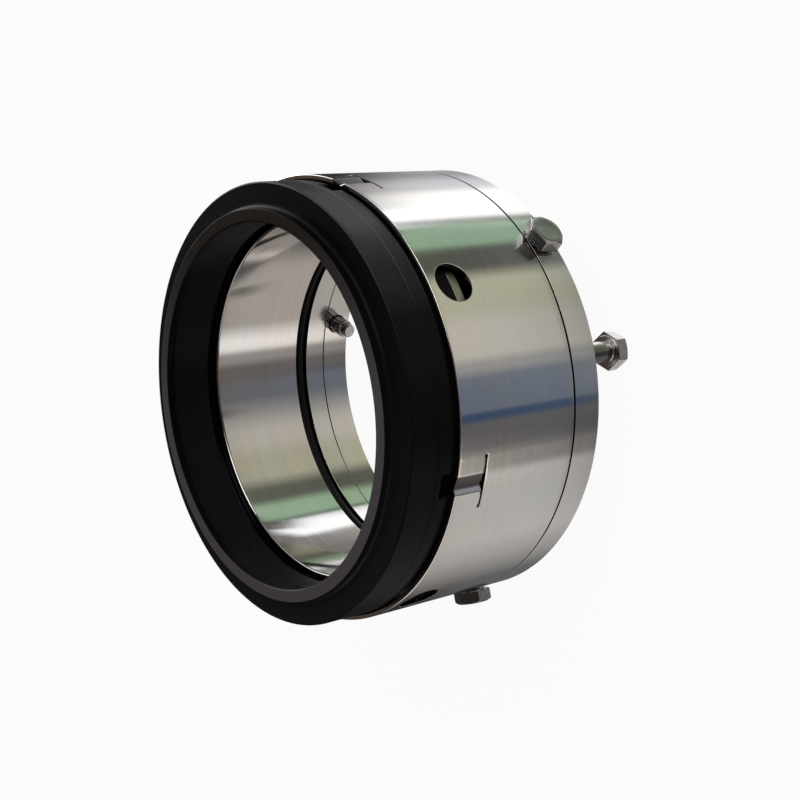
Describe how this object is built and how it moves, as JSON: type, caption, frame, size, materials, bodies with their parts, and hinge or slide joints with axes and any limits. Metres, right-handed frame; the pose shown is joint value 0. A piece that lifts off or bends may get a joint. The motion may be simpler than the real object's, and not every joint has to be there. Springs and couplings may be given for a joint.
{
  "type": "cartridge mechanical seal",
  "caption": "Rotary unit of a cartridge mechanical seal: steel sleeve and shell, spring-loaded black face ring with raised nose, clamp ring with hex-head set screws.",
  "frame": {"origin": "on the shaft axis, in the plane where the drive ring meets the housing, which is the rear end of the housing's bore", "axes": "+Z along the shaft axis, from the drive ring towards the sealing face; +X at angle zero, 5.8 degrees before the first axial screw"},
  "size_m": [0.1702, 0.1751, 0.1093],
  "materials": {
    "steel": "finely turned",
    "screw_steel": "smooth",
    "spring_steel": "drawn wire",
    "carbide": "satin ground, lapped on the nose",
    "rubber": "satin"
  },
  "bodies": {
    "sleeve_unit": {"drive_ring": "steel", "housing": "steel", "shell": "steel", "shaft_o_ring": "rubber", "spring_01": "spring_steel", "spring_02": "spring_steel", "spring_03": "spring_steel", "spring_04": "spring_steel", "spring_05": "spring_steel", "spring_06": "spring_steel", "spring_07": "spring_steel", "spring_08": "spring_steel", "spring_09": "spring_steel", "spring_10": "spring_steel", "spring_11": "spring_steel", "spring_12": "spring_steel", "axial_screw_1": "screw_steel", "axial_screw_2": "screw_steel", "axial_screw_3": "screw_steel", "drive_pin_1": "steel", "drive_pin_2": "steel", "drive_pin_3": "steel"},
    "face_unit": {"thrust_ring": "steel", "face_o_ring": "rubber", "face_ring": "carbide"},
    "set_screw_1": {"set_screw_1": "screw_steel"},
    "set_screw_2": {"set_screw_2": "screw_steel"},
    "set_screw_3": {"set_screw_3": "screw_steel"}
  },
  "joints": [
    {"name": "face_float", "type": "slide", "parent": "sleeve_unit", "child": "face_unit", "axis": [0, 0, 1], "range_m": [-0.0024, 0], "stiffness_N_per_m": 60000, "springref_m": 0.001, "deforming": ["spring_01", "spring_02", "spring_03", "spring_04", "spring_05", "spring_06", "spring_07", "spring_08", "spring_09", "spring_10", "spring_11", "spring_12"]},
    {"name": "set_screw_1_travel", "type": "slide", "parent": "sleeve_unit", "child": "set_screw_1", "axis": [0.7986, 0.6018, 0], "range_m": [-0.0005, 0.0098]},
    {"name": "set_screw_2_travel", "type": "slide", "parent": "sleeve_unit", "child": "set_screw_2", "axis": [-0.9205, 0.3907, 0], "range_m": [-0.0005, 0.0098]},
    {"name": "set_screw_3_travel", "type": "slide", "parent": "sleeve_unit", "child": "set_screw_3", "axis": [0.1219, -0.9925, 0], "range_m": [-0.0005, 0.0098]}
  ]
}
